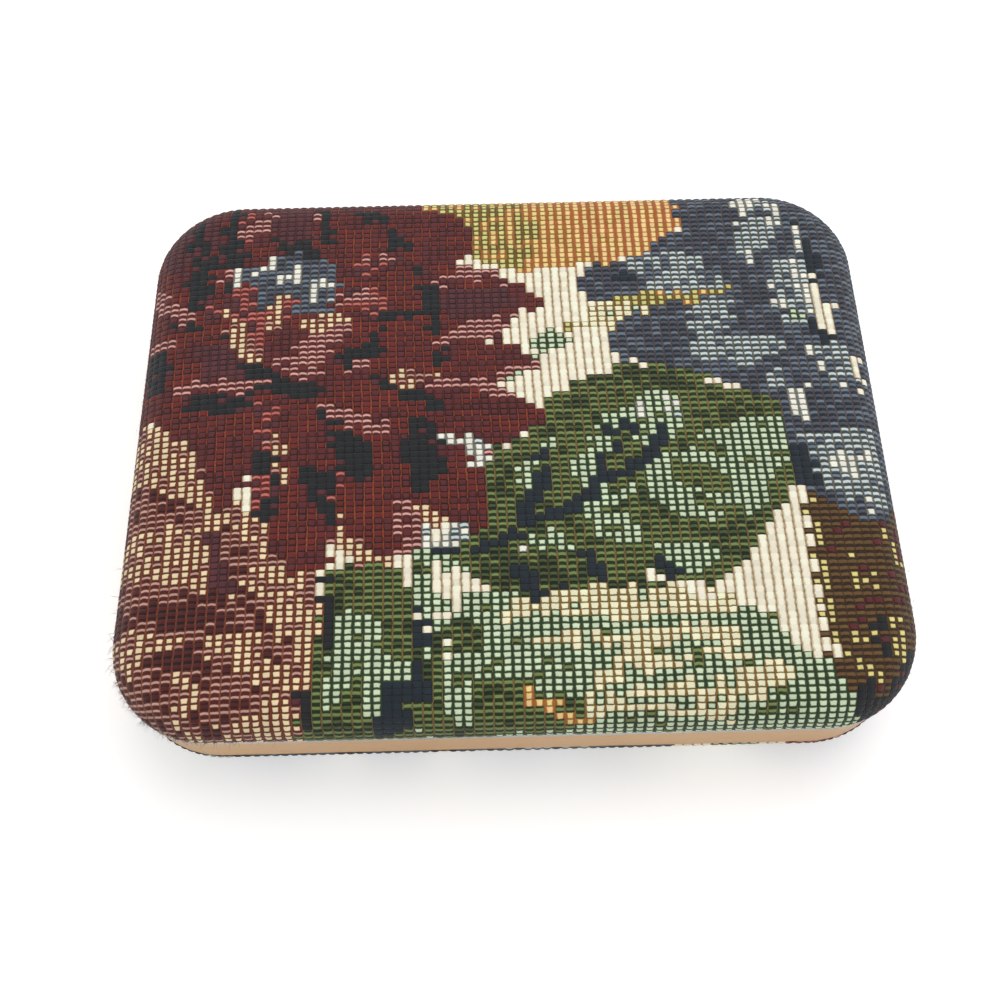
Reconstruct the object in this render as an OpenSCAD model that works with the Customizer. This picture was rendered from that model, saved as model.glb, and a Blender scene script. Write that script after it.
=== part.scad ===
// Small hinged keepsake box with rounded corners: a padded lid and a dished bottom,
// both covered in tapestry cloth, held in two pressed metal frames and lined inside.
// The front faces -Y and the hinge is at the back. The box stands on z = 0.

/* [Box] */
// Outside width, over the cloth of the lid
box_w = 108; // [80:1:160]
// Outside depth, over the cloth of the lid and without the hinge
box_d = 85; // [64:1:130]
// Radius of the upright corners
corner_r = 13.6; // [12:0.2:20]

/* [Cloth] */
// Thickness of the tapestry cloth
cloth_t = 0.9; // [0.5:0.05:1.2]

/* [Lid] */
// Radius of the rounded edge of the lid, which is also its height above the frame
lid_round = 5; // [4.4:0.1:8]
// Thickness of the wadding under the cloth of the lid
wadding_t = 0.9; // [0.4:0.1:1.2]
// How far above the lid frame the wadding ends
wadding_lift = 2; // [1.6:0.1:2.4]
// Thickness of the pressed board of the lid
lid_shell_t = 0.8; // [0.4:0.1:1]

/* [Frames] */
// Height of the lid frame, whose rolled edge is as thick as the cloth at most
lid_frame_h = 1; // [0.8:0.1:1.6]
// Thickness of the metal of both frames
frame_t = 0.5; // [0.3:0.05:0.6]
// Height of the bare band of the base frame
band_h = 8; // [5:0.5:16]
// How far the band stands behind the cloth of the lid
band_inset = 0.25; // [0.1:0.05:0.5]

/* [Base] */
// Radius of the rounded edge of the bottom, which is also the height of its cloth
base_round = 7; // [5:0.5:10]
// How far the cloth of the bottom stands behind the cloth of the lid
base_cloth_inset = 0.1; // [0:0.05:0.2]
// Thickness of the pressed board of the bottom
base_shell_t = 0.8; // [0.4:0.1:1]

/* [Lining] */
// Thickness of the wall board, where it stands up as a neck for the lid
neck_t = 0.8; // [0.6:0.1:1.2]
// How far the neck stands up inside the lid
neck_h = 1.8; // [1:0.1:2]
// Gap all round between the neck and the lid frame
neck_gap = 0.3; // [0.2:0.05:0.5]
// Thickness of the lining fabric on the walls
wall_lining_t = 0.3; // [0.2:0.05:0.4]
// Thickness of the card in the floor
floor_board_t = 1; // [0.6:0.1:1.2]
// Thickness of the padded lining of the floor
floor_lining_t = 1.1; // [0.6:0.1:1.6]
// Thickness of the card in the lid
lid_board_t = 0.6; // [0.4:0.1:0.8]
// Thickness of the padded lining of the lid
lid_lining_t = 0.5; // [0.3:0.05:0.6]
// Slack left round a piece that is pushed in
slack = 0.1; // [0.05:0.05:0.15]

/* [Hinge] */
// Length of the hinge
hinge_w = 42; // [24:1:60]
// Number of knuckles, the odd ones on the base
knuckle_count = 5; // [3:2:9]
// Radius of the hinge pin
pin_r = 0.45; // [0.3:0.05:0.6]
// Running clearance between the pin and the bore of the lid knuckles
pin_clear = 0.05; // [0.02:0.01:0.08]
// Gap between two knuckles
knuckle_gap = 0.3; // [0.2:0.05:0.5]
// Gap between a knuckle and the edge of the lid
hinge_gap = 0.15; // [0.1:0.05:0.4]
// How far each end of the pin stands out of the end knuckles
pin_head = 0.3; // [0:0.1:0.6]

/* [Hidden] */
$fn = 96;
part_z = base_round + band_h;
lid_cz = part_z + lid_frame_h;
bead_r = min(lid_frame_h, cloth_t) / 2;
wadding_r = lid_round - cloth_t;
lid_shell_r = wadding_r - wadding_t;
lid_shell_cx = cloth_t + lid_shell_r;
lid_shell_in = cloth_t + lid_shell_t;
lid_ceiling = lid_cz + lid_shell_r - lid_shell_t;
lid_board_inset = lid_shell_cx + slack;
lid_lining_z = lid_ceiling - lid_board_t - lid_lining_t;
lid_dome_r = lid_shell_r - lid_shell_t;
lid_lining_up = lid_ceiling - lid_board_t - lid_cz;
lid_lining_inset = lid_shell_cx - sqrt(pow(lid_dome_r, 2) - pow(lid_lining_up, 2)) + 3 * slack;
frame_in = lid_shell_in + frame_t;
neck_out = frame_in + neck_gap;
neck_in = neck_out + neck_t;
base_shell_edge = base_cloth_inset + cloth_t;
base_shell_r = base_round - cloth_t;
base_shell_cx = base_shell_edge + base_shell_r;
base_dish_r = base_shell_r - base_shell_t;
wall_out = base_shell_edge + base_shell_t + slack;
wall_foot = base_round - sqrt(pow(base_dish_r - slack, 2) - pow(base_shell_cx - neck_in, 2));
floor_z = cloth_t + base_shell_t;
floor_board_top = floor_z + floor_board_t;
floor_top = floor_board_top + floor_lining_t;
floor_edge = neck_in + wall_lining_t + slack;
wall_lining_foot = max(floor_top, wall_foot);
neck_top = part_z + neck_h;
lap = 1;
knuckle_r = pin_r + pin_clear + frame_t;
hinge_y = box_d / 2 + hinge_gap + knuckle_r;
hinge_z = part_z + frame_t - knuckle_r;
knuckle_pitch = hinge_w / knuckle_count;

// Rounded rectangle that lies the given distance inside the outline of the box
module outline(inset) {
    r = corner_r - inset;
    square([box_w - 2 * inset, box_d - 2 * corner_r], center = true);
    square([box_w - 2 * corner_r, box_d - 2 * inset], center = true);
    for (x = [-1, 1], y = [-1, 1])
        translate([x * (box_w / 2 - corner_r), y * (box_d / 2 - corner_r)])
            circle(r);
}

module plate(inset, z, t) {
    translate([0, 0, z])
        linear_extrude(t)
            outline(inset);
}

// Carries a section round the box. In the section, x is the distance inside the outline.
module round_the_box() {
    corners = [[1, 1, 0], [-1, 1, 90], [-1, -1, 180], [1, -1, 270]];
    for (c = corners)
        translate([c[0] * (box_w / 2 - corner_r), c[1] * (box_d / 2 - corner_r), 0])
            rotate([0, 0, c[2]])
                rotate_extrude(angle = 90)
                    translate([corner_r, 0])
                        mirror([1, 0])
                            children();
    for (side = [0:3]) {
        along = side % 2 == 0 ? box_w : box_d;
        across = side % 2 == 0 ? box_d : box_w;
        rotate([0, 0, 90 * side])
            translate([corner_r - along / 2, -across / 2, 0])
                rotate([90, 0, 90])
                    linear_extrude(along - 2 * corner_r)
                        children();
    }
}

module box_at(low, high) {
    translate(low)
        square(high - low);
}

// Quarter of a disc, outward of its centre and above it (up = 1) or below it (up = 0)
module quarter_disc(centre, r, up) {
    intersection() {
        translate(centre)
            circle(r);
        translate([centre[0] - r, centre[1] - (1 - up) * r])
            square(r);
    }
}

// Section of a sheet that rounds over from a side at edge to a flat face
module rounded_sheet(edge, cz, r, t, up) {
    centre = [edge + r, cz];
    difference() {
        quarter_disc(centre, r, up);
        translate(centre)
            circle(r - t);
    }
    flat_z = up == 1 ? cz + r - t : cz - r;
    box_at([edge + r, flat_z], [edge + r + lap, flat_z + t]);
}

module rounded_shell(edge, cz, r, t, up) {
    round_the_box()
        rounded_sheet(edge, cz, r, t, up);
    plate(edge + r, up == 1 ? cz + r - t : cz - r, t);
}

module knuckles(first) {
    for (i = [first:2:knuckle_count - 1])
        translate([i * knuckle_pitch - hinge_w / 2 + knuckle_gap / 2, 0, 0])
            children();
}

// One knuckle and the tab that joins it to its frame, before its bore is made
module knuckle(up) {
    length = knuckle_pitch - knuckle_gap;
    translate([0, hinge_y, hinge_z])
        rotate([0, 90, 0])
            cylinder(r = knuckle_r, h = length);
    tab_from = box_d / 2 - (up == 1 ? bead_r : band_inset + frame_t);
    translate([0, tab_from, up == 1 ? part_z : part_z - frame_t])
        cube([length, hinge_y - tab_from, frame_t]);
}

module hinge_bore(r) {
    translate([-hinge_w, hinge_y, hinge_z])
        rotate([0, 90, 0])
            cylinder(r = r, h = 2 * hinge_w);
}

module lid_frame() {
    color("silver")
        difference() {
            union() {
                round_the_box() {
                    translate([bead_r, part_z + lid_frame_h / 2])
                        circle(bead_r);
                    box_at([bead_r, part_z], [frame_in, part_z + frame_t]);
                    box_at([lid_shell_in, part_z], [frame_in, lid_cz]);
                }
                knuckles(1)
                    knuckle(1);
            }
            hinge_bore(pin_r + pin_clear);
        }
}

module lid_shell() {
    color("lightgray") {
        rounded_shell(cloth_t, lid_cz, lid_shell_r, lid_shell_t, 1);
        round_the_box()
            box_at([cloth_t, part_z + frame_t], [lid_shell_in, lid_cz]);
    }
}

module lid_wadding() {
    low = lid_cz + wadding_lift;
    color("ivory") {
        round_the_box()
            difference() {
                union() {
                    quarter_disc([cloth_t + wadding_r, lid_cz], wadding_r, 1);
                    box_at([cloth_t + wadding_r, lid_cz],
                           [cloth_t + wadding_r + lap, lid_cz + wadding_r]);
                }
                translate([lid_shell_cx, lid_cz])
                    circle(lid_shell_r);
                box_at([lid_shell_cx, lid_cz - lap],
                       [cloth_t + wadding_r + 2 * lap, lid_cz + lid_shell_r]);
                box_at([0, lid_cz - lap], [lid_shell_cx, low]);
            }
        plate(cloth_t + wadding_r, lid_cz + lid_shell_r, wadding_t);
    }
}

module lid_cloth() {
    color("darkolivegreen")
        rounded_shell(0, lid_cz, lid_round, cloth_t, 1);
}

module lid_lining_board() {
    color("tan")
        plate(lid_board_inset, lid_ceiling - lid_board_t, lid_board_t);
}

module lid_lining() {
    color("goldenrod")
        plate(lid_lining_inset, lid_lining_z, lid_lining_t);
}

module base_frame() {
    edge_in = band_inset + frame_t;
    lip_in = neck_out - slack;
    color("burlywood")
        difference() {
            union() {
                round_the_box() {
                    box_at([band_inset, base_round], [edge_in, part_z - frame_t]);
                    quarter_disc([edge_in, part_z - frame_t], frame_t, 1);
                    box_at([edge_in, part_z - frame_t], [lip_in, part_z]);
                    box_at([band_inset, base_round], [base_shell_edge, base_round + frame_t]);
                }
                knuckles(0)
                    knuckle(0);
            }
            hinge_bore(pin_r);
        }
}

module base_shell() {
    color("lightgray") {
        rounded_shell(base_shell_edge, base_round, base_shell_r, base_shell_t, 0);
        round_the_box()
            box_at([base_shell_edge, base_round],
                   [base_shell_edge + base_shell_t, part_z - frame_t]);
    }
}

module base_cloth() {
    color("darkolivegreen")
        rounded_shell(base_cloth_inset, base_round, base_round, cloth_t, 0);
}

module base_wall_board() {
    color("tan")
        round_the_box()
            polygon([[wall_out, base_round], [wall_out, part_z - frame_t],
                     [neck_out, part_z - frame_t], [neck_out, neck_top],
                     [neck_in, neck_top], [neck_in, wall_foot]]);
}

module base_wall_lining() {
    color("goldenrod")
        round_the_box() {
            box_at([neck_in, wall_lining_foot],
                   [neck_in + wall_lining_t, neck_top + wall_lining_t]);
            box_at([neck_out, neck_top], [neck_in, neck_top + wall_lining_t]);
        }
}

module base_floor_board() {
    color("tan")
        plate(base_shell_cx, floor_z, floor_board_t);
}

module base_floor_lining() {
    color("goldenrod") {
        round_the_box()
            polygon([[floor_edge, wall_foot + slack], [floor_edge, floor_top],
                     [base_shell_cx + lap, floor_top], [base_shell_cx + lap, floor_board_top],
                     [base_shell_cx - slack, floor_board_top]]);
        plate(base_shell_cx, floor_board_top, floor_lining_t);
    }
}

module hinge_pin() {
    reach = hinge_w / 2 - knuckle_gap / 2 + pin_head;
    color("silver")
        translate([-reach, hinge_y, hinge_z])
            rotate([0, 90, 0])
                cylinder(r = pin_r, h = 2 * reach);
}

lid_frame();
lid_shell();
lid_wadding();
lid_cloth();
lid_lining_board();
lid_lining();
base_frame();
base_shell();
base_cloth();
base_wall_board();
base_wall_lining();
base_floor_board();
base_floor_lining();
hinge_pin();
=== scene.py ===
import math
import bpy
import numpy as np
from mathutils import Matrix, Vector


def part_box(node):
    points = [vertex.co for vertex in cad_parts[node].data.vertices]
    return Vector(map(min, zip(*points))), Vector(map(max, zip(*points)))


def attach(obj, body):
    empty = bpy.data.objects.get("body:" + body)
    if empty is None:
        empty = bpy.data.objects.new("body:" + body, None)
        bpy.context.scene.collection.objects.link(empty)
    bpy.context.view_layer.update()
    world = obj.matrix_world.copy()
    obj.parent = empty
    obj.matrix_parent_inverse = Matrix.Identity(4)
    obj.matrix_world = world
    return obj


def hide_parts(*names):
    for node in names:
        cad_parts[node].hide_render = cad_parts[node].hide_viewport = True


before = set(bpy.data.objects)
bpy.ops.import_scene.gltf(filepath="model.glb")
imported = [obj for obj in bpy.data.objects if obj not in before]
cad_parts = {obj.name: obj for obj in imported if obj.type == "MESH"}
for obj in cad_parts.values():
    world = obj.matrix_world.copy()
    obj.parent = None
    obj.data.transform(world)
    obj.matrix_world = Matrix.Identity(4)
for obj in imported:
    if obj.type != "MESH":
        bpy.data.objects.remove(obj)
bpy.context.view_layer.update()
mm = 0.001
print("frame loaded")

# Camera

view = {
    "lens": 39.6,
    "sensor": 36.0,
    "aimHeight": 15 * mm,  # the plane where lid and base meet
    "distance": 161.8 * mm,
    "elevation": 63.33,
    "orbit": -1.74,
    "roll": 0.24,
    "pictureSide": 1000,
    "aimAtPixel": (508.8, 448.3),  # where the middle of that plane lands in the picture
    "nearest": 5 * mm,
    "farthest": 20,
}


def placeCamera():
    data = bpy.data.cameras.new("camera")
    data.lens = view["lens"]
    data.sensor_width = view["sensor"]
    data.clip_start = view["nearest"]
    data.clip_end = view["farthest"]
    focalPixels = view["lens"] / view["sensor"] * view["pictureSide"]
    middlePixel = view["pictureSide"] / 2
    right, down = (math.atan((pixel - middlePixel) / focalPixels) for pixel in view["aimAtPixel"])
    camera = bpy.data.objects.new("camera", data)
    camera.matrix_world = (
        Matrix.Translation((0, 0, view["aimHeight"]))
        @ Matrix.Rotation(math.radians(view["orbit"]), 4, "Z")
        @ Matrix.Rotation(math.radians(90 - view["elevation"]), 4, "X")
        @ Matrix.Translation((0, 0, view["distance"]))
        @ Matrix.Rotation(math.radians(view["roll"]), 4, "Z")
        @ Matrix.Rotation(down, 4, "X")
        @ Matrix.Rotation(right, 4, "Y")
    )
    bpy.context.scene.collection.objects.link(camera)
    bpy.context.scene.camera = camera


placeCamera()
print("camera placed")

# Shader maths


class Wire:
    # an output socket that can be used in plain expressions
    def __init__(self, tree, socket):
        self.tree = tree
        self.socket = socket

    def math(self, operation, *values):
        return addNode(self.tree, "ShaderNodeMath", {"operation": operation}, dict(enumerate(values)))

    def __add__(self, other):
        return self.math("ADD", self, other)

    def __radd__(self, other):
        return self.math("ADD", other, self)

    def __sub__(self, other):
        return self.math("SUBTRACT", self, other)

    def __rsub__(self, other):
        return self.math("SUBTRACT", other, self)

    def __mul__(self, other):
        return self.math("MULTIPLY", self, other)

    def __rmul__(self, other):
        return self.math("MULTIPLY", other, self)

    def __abs__(self):
        return self.math("ABSOLUTE", self)


def addNode(tree, kind, settings=None, inputs=None, output=0):
    node = tree.nodes.new(kind)
    for name, value in (settings or {}).items():
        if name == "stops":
            ramp = node.color_ramp
            while len(ramp.elements) < len(value):
                ramp.elements.new(0.5)
            for element, (place, colour) in zip(ramp.elements, value):
                element.position = place
                element.color = (*linear(colour), 1)
        else:
            setattr(node, name, value)
    for name, value in (inputs or {}).items():
        if isinstance(value, Wire):
            tree.links.new(value.socket, node.inputs[name])
        else:
            node.inputs[name].default_value = value
    return Wire(tree, node.outputs[output])


def linear(colour):
    # a colour as it looks on screen, from 0 to 1, in the renderer's own light
    return tuple(c / 12.92 if c < 0.04045 else ((c + 0.055) / 1.055) ** 2.4 for c in colour)


def darker(colour, share):
    return (*linear([c * share for c in colour]), 1)


def mixColours(tree, share, first, second, blend="MIX"):
    settings = {"data_type": "RGBA", "blend_type": blend}
    return addNode(tree, "ShaderNodeMix", settings, {0: share, 6: first, 7: second}, 2)


def ramp(tree, value, *stops):
    return addNode(tree, "ShaderNodeValToRGB", {"stops": stops}, {0: value})


def step(tree, value, low, high):
    # a soft step from 0 at low to 1 at high
    inputs = {"Value": value, "From Min": low, "From Max": high}
    return addNode(tree, "ShaderNodeMapRange", {"interpolation_type": "SMOOTHSTEP"}, inputs)


def noise(tree, place, scale, detail=2.0, roughness=0.5):
    inputs = {"Vector": place, "Scale": scale, "Detail": detail, "Roughness": roughness}
    return addNode(tree, "ShaderNodeTexNoise", {}, inputs)


def stretched(tree, place, scale):
    return addNode(tree, "ShaderNodeVectorMath", {"operation": "MULTIPLY"}, {0: place, 1: scale})


def newMaterial(name, fixed):
    material = bpy.data.materials.new(name)
    material.use_nodes = True
    tree = material.node_tree
    shader = tree.nodes["Principled BSDF"]
    for socket, value in fixed.items():
        shader.inputs[socket].default_value = value
    return material, tree, shader


def onPiece(tree):
    return addNode(tree, "ShaderNodeTexCoord", {}, {}, "Object")


def feed(tree, shader, colour, roughness=None, height=None, bump=0.5, depth=0.1 * mm):
    tree.links.new(colour.socket, shader.inputs["Base Color"])
    if roughness:
        tree.links.new(roughness.socket, shader.inputs["Roughness"])
    if height:
        normal = addNode(tree, "ShaderNodeBump", {}, {"Height": height, "Strength": bump, "Distance": depth})
        tree.links.new(normal.socket, shader.inputs["Normal"])


def addPiece(name, places, faces):
    # places in mm
    mesh = bpy.data.meshes.new(name)
    mesh.from_pydata((np.array(places) * mm).tolist(), [], faces)
    mesh.shade_smooth()
    piece = bpy.data.objects.new(name, mesh)
    bpy.context.scene.collection.objects.link(piece)
    return piece


# Tapestry: its yarns and its design

# float yarn, ground yarn, warp yarn at the edge of the column, as they look on screen,
# then the float's length and width in its cell, how strong the warp shows, how far the float arches
yarns = {
    "cream": ((0.99, 0.96, 0.87), (0.93, 0.86, 0.72), (0.55, 0.42, 0.26), 1.4, 0.72, 0.85, 0.0),
    "paleLeaf": ((0.97, 0.95, 0.80), (0.50, 0.40, 0.20), (0.55, 0.40, 0.16), 0.78, 0.72, 0.75, 0.02),
    "mintLeaf": ((0.84, 0.90, 0.76), (0.20, 0.29, 0.17), (0.16, 0.19, 0.10), 0.62, 0.62, 0.7, 0.04),
    "greenLeaf": ((0.47, 0.54, 0.32), (0.13, 0.19, 0.07), (0.55, 0.45, 0.25), 0.42, 0.80, 0.8, 0.08),
    "darkGreen": ((0.28, 0.35, 0.20), (0.08, 0.12, 0.06), (0.38, 0.33, 0.18), 0.40, 0.80, 0.7, 0.08),
    "maroon": ((0.38, 0.16, 0.17), (0.14, 0.05, 0.06), (0.46, 0.19, 0.14), 0.80, 0.70, 0.55, 0.05),
    "redMaroon": ((0.42, 0.15, 0.14), (0.15, 0.05, 0.05), (0.66, 0.31, 0.18), 0.76, 0.70, 0.8, 0.05),
    "plum": ((0.36, 0.18, 0.20), (0.15, 0.07, 0.09), (0.40, 0.22, 0.20), 0.76, 0.70, 0.6, 0.06),
    "pinkDash": ((0.88, 0.66, 0.62), (0.34, 0.13, 0.13), (0.52, 0.25, 0.19), 0.36, 0.94, 0.6, 0.14),
    "roseDash": ((0.78, 0.44, 0.40), (0.38, 0.12, 0.11), (0.56, 0.24, 0.17), 0.40, 0.90, 0.6, 0.12),
    "rust": ((0.96, 0.87, 0.70), (0.40, 0.17, 0.10), (0.50, 0.25, 0.14), 0.66, 0.60, 0.75, 0.03),
    "rustDash": ((0.80, 0.62, 0.56), (0.33, 0.12, 0.10), (0.56, 0.31, 0.20), 0.34, 0.92, 0.8, 0.12),
    "rustDark": ((0.32, 0.12, 0.12), (0.16, 0.06, 0.07), (0.52, 0.26, 0.16), 0.55, 0.84, 0.85, 0.05),
    "black": ((0.13, 0.14, 0.15), (0.07, 0.07, 0.08), (0.13, 0.12, 0.12), 0.9, 0.92, 0.3, 0.03),
    "navy": ((0.13, 0.17, 0.20), (0.07, 0.10, 0.12), (0.11, 0.13, 0.14), 0.9, 0.92, 0.3, 0.03),
    "blueGrey": ((0.42, 0.47, 0.53), (0.17, 0.20, 0.24), (0.43, 0.37, 0.32), 0.46, 0.84, 0.7, 0.10),
    "blueDark": ((0.30, 0.33, 0.38), (0.14, 0.16, 0.19), (0.38, 0.31, 0.30), 0.46, 0.84, 0.7, 0.10),
    "blueLight": ((0.82, 0.86, 0.85), (0.26, 0.31, 0.33), (0.46, 0.43, 0.34), 0.44, 0.80, 0.7, 0.10),
    "white": ((0.97, 0.96, 0.90), (0.50, 0.52, 0.50), (0.45, 0.40, 0.33), 0.80, 0.66, 0.7, 0.03),
    "gold": ((0.95, 0.84, 0.55), (0.66, 0.42, 0.17), (0.67, 0.40, 0.18), 0.74, 0.52, 0.9, 0.02),
    "orange": ((0.97, 0.83, 0.56), (0.72, 0.43, 0.22), (0.69, 0.37, 0.18), 0.82, 0.50, 1.0, 0.02),
    "olive": ((0.86, 0.83, 0.52), (0.40, 0.33, 0.12), (0.52, 0.38, 0.16), 0.66, 0.54, 0.7, 0.03),
    "brown": ((0.42, 0.31, 0.17), (0.20, 0.13, 0.07), (0.30, 0.19, 0.10), 0.46, 0.94, 0.5, 0.04),
    "brownGold": ((0.93, 0.86, 0.55), (0.26, 0.20, 0.09), (0.36, 0.25, 0.12), 0.60, 0.56, 0.6, 0.03),
}

# the share of a yarn's cells in which another yarn comes up
mixes = {"maroon": ("redMaroon", 0.3), "redMaroon": ("maroon", 0.35), "rust": ("rustDash", 0.25),
         "rustDash": ("rustDark", 0.25), "rustDark": ("rustDash", 0.2), "pinkDash": ("maroon", 0.12),
         "roseDash": ("plum", 0.3), "greenLeaf": ("darkGreen", 0.2), "darkGreen": ("greenLeaf", 0.3),
         "mintLeaf": ("greenLeaf", 0.1), "paleLeaf": ("mintLeaf", 0.1), "blueGrey": ("blueDark", 0.35),
         "blueDark": ("blueGrey", 0.35), "blueLight": ("blueGrey", 0.15), "gold": ("orange", 0.25),
         "orange": ("gold", 0.25), "olive": ("gold", 0.25), "brown": ("maroon", 0.12),
         "brownGold": ("brown", 0.3), "black": ("plum", 0.1), "white": ("blueLight", 0.15)}

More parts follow.
